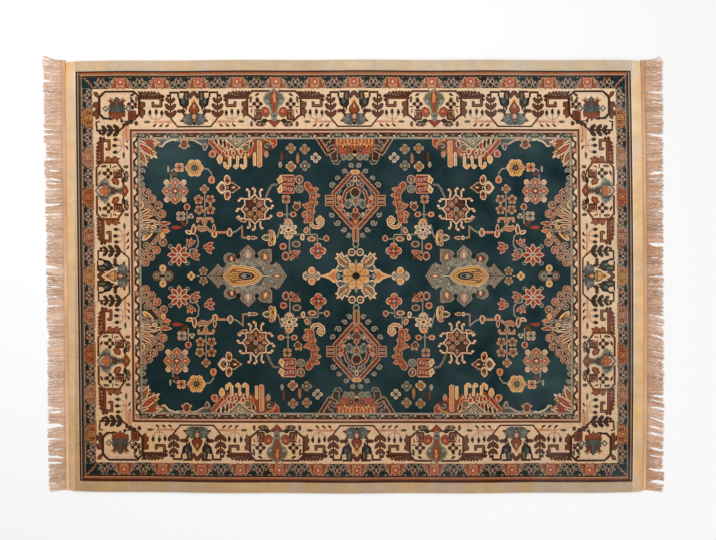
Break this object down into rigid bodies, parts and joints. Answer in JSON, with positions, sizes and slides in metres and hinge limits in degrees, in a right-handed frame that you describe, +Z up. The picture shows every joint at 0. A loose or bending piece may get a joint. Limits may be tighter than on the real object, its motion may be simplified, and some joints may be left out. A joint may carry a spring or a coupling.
{
  "type": "viscose rug",
  "caption": "Flat rectangular pile rug in viscose with a woven oriental medallion pattern, layered borders and a sewn-on fringe at each short end.",
  "frame": {"origin": "middle of the rug's footprint, on the surface that it lies on", "axes": "+X along the rug's length, fringe to fringe; +Y across its width; +Z up through the pile"},
  "size_m": [2.303, 1.6034, 0.0072],
  "materials": {
    "pile": "dense short viscose pile with a soft sheen",
    "fringe": "twisted yarns with a slight silky sheen"
  },
  "bodies": {
    "root": {"rug_body": "pile", "fringe_left": "fringe", "fringe_right": "fringe"}
  },
  "joints": []
}
